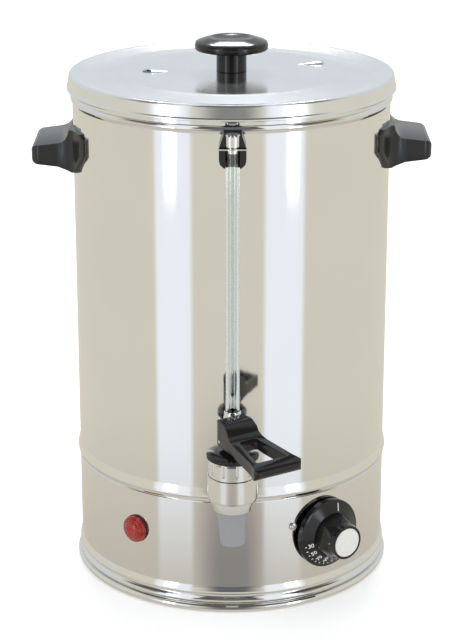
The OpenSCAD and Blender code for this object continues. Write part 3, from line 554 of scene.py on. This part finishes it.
tap = {
    "lever": (2.5, 5, 26),  # rounding in mm, its segments, and the fold angle
    "bonnet": (0.35, 2, 40),
}


def makeTap():
    for part, (edge, segments, fold) in tap.items():
        roundedCopy("tap_" + part, "tap." + part, edge * mm, segments, fold)


dial = {
    "angle": 36,
    "height": 71,
    "firstTick": 193.5,  # degrees round the dial, from the right and counter-clockwise
    "tickStep": 10.3,
    "ticks": 10,
    "tickRadius": 29.5,
    "tickSize": (1.5, 0.9),
    "numbers": ("30", "50", "70", "90", "110"),
    "numberRadius": 25,
    "numberHeight": 4.1,
    "pointerAngle": 72,
    "pointerRadii": (23, 31),
    "pointerWidth": 0.9,
    "dot": (176, 16.6, 28),  # angle, radius and height of the white dot on the grip
    "printHeight": 0.12,
    "skirtFace": ((22.0, 12.2), (31.3, 7.7)),  # radius and height at both ends of the cone
}


def onSkirt(radius, angle):
    # a frame on the skirt's cone: X points to the dial's axis, Z out of the face
    (r1, z1), (r2, z2) = dial["skirtFace"]
    slope = math.atan2(z1 - z2, r2 - r1)
    height = z1 + (z2 - z1) * (radius - r1) / (r2 - r1)
    return (
        onWall(dial["angle"], dial["height"])
        @ Matrix.Rotation(math.radians(angle), 4, "Z")
        @ Matrix.Translation((radius * mm, 0, height * mm))
        @ Matrix.Rotation(slope, 4, "Y")
        @ Matrix.Rotation(math.pi, 4, "Z")
    )


def addPrint(width, height, place):
    # a small raised block of paint with rounded corners
    bpy.ops.object.select_all(action="DESELECT")
    bpy.ops.mesh.primitive_cube_add(size=1)
    block = bpy.context.object
    block.scale = (width * mm, height * mm, 2 * dial["printHeight"] * mm)
    setPlace(block)
    addBevel(block, 0.15 * min(width, height) * mm, 2, 60)
    block.matrix_world = place
    setPlace(block)
    return block


def addNumber(words, place):
    bpy.ops.object.select_all(action="DESELECT")
    bpy.ops.object.text_add()
    text = bpy.context.object
    text.data.body = words
    text.data.size = dial["numberHeight"] * mm / 0.7
    text.data.align_x = "CENTER"
    text.data.align_y = "CENTER"
    text.data.extrude = dial["printHeight"] * mm
    text.data.offset = 0.06 * mm
    text.data.resolution_u = 3
    pickOnly(text)
    bpy.ops.object.convert(target="MESH")
    text = bpy.context.object
    text.matrix_world = place
    setPlace(text)
    return text


def makeDial():
    prints = []
    for i in range(dial["ticks"]):
        angle = dial["firstTick"] + i * dial["tickStep"]
        prints.append(addPrint(*dial["tickSize"], onSkirt(dial["tickRadius"], angle)))
    for i, words in enumerate(dial["numbers"]):
        angle = dial["firstTick"] + 2 * i * dial["tickStep"]
        prints.append(addNumber(words, onSkirt(dial["numberRadius"], angle)))
    near, far = dial["pointerRadii"]
    line = onSkirt((near + far) / 2, dial["pointerAngle"])
    prints.append(addPrint(far - near, dial["pointerWidth"], line))
    pickOnly(*prints)
    bpy.ops.object.join()
    finishPiece(bpy.context.object, "dial.print", "dial", "white_print", smooth=30)
    dot = spun("dial.dot", [(0, 0), (1.1, 0), (1.1, 0.2), (0.9, 0.4), (0, 0.45)], Matrix(), 16)
    angle, radius, height = dial["dot"]
    dot.matrix_world = (
        onWall(dial["angle"], dial["height"])
        @ Matrix.Rotation(math.radians(angle), 4, "Z")
        @ Matrix.Translation((radius * mm, 0, height * mm))
        @ Matrix.Rotation(math.pi / 2, 4, "Y")
    )
    finishPiece(dot, "dial.dot", "dial", "white_print", smooth=30)


lamp = {
    "angle": -37,
    "height": 73,
    "radius": 13.3,
}


def makeLamp():
    r = lamp["radius"]
    points = [(0, 0.95), (r - 1.1, 0.95), (r - 0.4, 1.4), (r - 0.35, 3.1), (r - 0.7, 4), (r - 1.3, 4.4)]
    points += [(r - 2.1, 4.3), (r - 2.5, 4.6), (r - 2.7, 5.4), (r - 3.4, 5.9), (r - 4.1, 5.7), (r - 4.5, 5.9)]
    points += [(r - 4.9, 6.8), (r - 5.7, 7.6), (r - 6.6, 7.6), (r - 7.0, 7.9), (5.4, 8.2), (4.4, 7.9)]
    points.append((0, 7.8))
    piece = spun("lamp.lens", points, onWall(lamp["angle"], lamp["height"]), 72)
    finishPiece(piece, "lamp.lens", "urn", "red_lens", ["lamp_lens"], 20)


louvre = {
    "places": ((-84, -4), (86, 38)),  # where the hoods open, mm
    "seat": 488.35,
    "halfWidth": 7.4,
    "length": 24,
    "flatten": 0.36,
    "sheet": 0.6,
    "slant": 0.75,  # how far the hood's open edge runs back on its right side
    "lean": -0.5,  # the hood's upper lip stands back at its open end
    # painted shade: a black disc under each hood stands for the dark inside the opening; these two place and
    # stretch it
    "shadeDiscPlace": 10,
    "shadeDiscScale": (1.35, 0.86, 1),
}


def makeLouvres():
    hoods = []
    shadeDiscs = []
    half, long = louvre["halfWidth"] * mm, louvre["length"] * mm
    for x, y in louvre["places"]:
        place = Matrix.Translation((x * mm, y * mm, louvre["seat"] * mm))
        place = place @ Matrix.Rotation(math.atan2(-y, -x), 4, "Z")
        bpy.ops.object.select_all(action="DESELECT")
        bpy.ops.mesh.primitive_cone_add(
            vertices=48,
            radius1=half,
            radius2=0.5 * mm,
            depth=long,
            end_fill_type="NOTHING",
            location=(long / 2, 0, 0),
            rotation=(0, math.pi / 2, 0),
        )
        hood = bpy.context.object
        setPlace(hood)
        hood.scale.z = louvre["flatten"]
        setPlace(hood)
        bpy.ops.object.mode_set(mode="EDIT")
        bpy.ops.mesh.select_all(action="SELECT")
        bpy.ops.mesh.bisect(plane_co=(0, 0, 0), plane_no=(0, 0, 1), clear_inner=True)
        bpy.ops.mesh.select_all(action="SELECT")
        cut = (1, louvre["slant"], louvre["lean"])
        bpy.ops.mesh.bisect(plane_co=(0.1 * mm, half, 0), plane_no=cut, clear_inner=True)
        bpy.ops.mesh.select_all(action="SELECT")
        bpy.ops.mesh.normals_make_consistent(inside=False)
        bpy.ops.object.mode_set(mode="OBJECT")
        wall = hood.modifiers.new("sheet", "SOLIDIFY")
        wall.thickness = louvre["sheet"] * mm
        bpy.ops.object.modifier_apply(modifier=wall.name)
        hood.matrix_world = place
        setPlace(hood)
        hoods.append(hood)
        # a black disc of painted shade under the hood, for the dark inside the louvre
        shadeDiscProfile = [(r * half, 0.35 - 0.2 * r) for r in (0, 0.5, 0.9)]
        points = [(r / mm, z) for r, z in shadeDiscProfile] + [(0.95 * half / mm, 0)]
        mouth = spun("mouth", points, Matrix(), 32)
        mouth.scale = louvre["shadeDiscScale"]
        mouth.location.x = louvre["shadeDiscPlace"] * mm
        setPlace(mouth)
        mouth.matrix_world = place @ Matrix.Translation((0, 0, 0.2 * mm))
        setPlace(mouth)
        shadeDiscs.append(mouth)
    pickOnly(*hoods)
    bpy.ops.object.join()
    finishPiece(bpy.context.object, "lid.louvres", "lid", "satin_steel", ["lid_louvres"], 40)
    # the black discs are painted shade, not a part of the lid
    pickOnly(*shadeDiscs)
    bpy.ops.object.join()
    finishPiece(bpy.context.object, "lid.louvre.openings", "lid", "moulded_black", smooth=40)


makeHandles()
makeLouvres()
makeKnob()
makeTap()
makeDial()
makeLamp()
print("the shaped pieces are made")

# the spark lamps reach these finishes alone
for thing in bpy.data.objects:
    if thing.type == "MESH" and thing.data.materials and thing.data.materials[0]:
        if thing.data.materials[0].name in ("gloss_black", "moulded_black", "red_lens"):
            plastics.objects.link(thing)
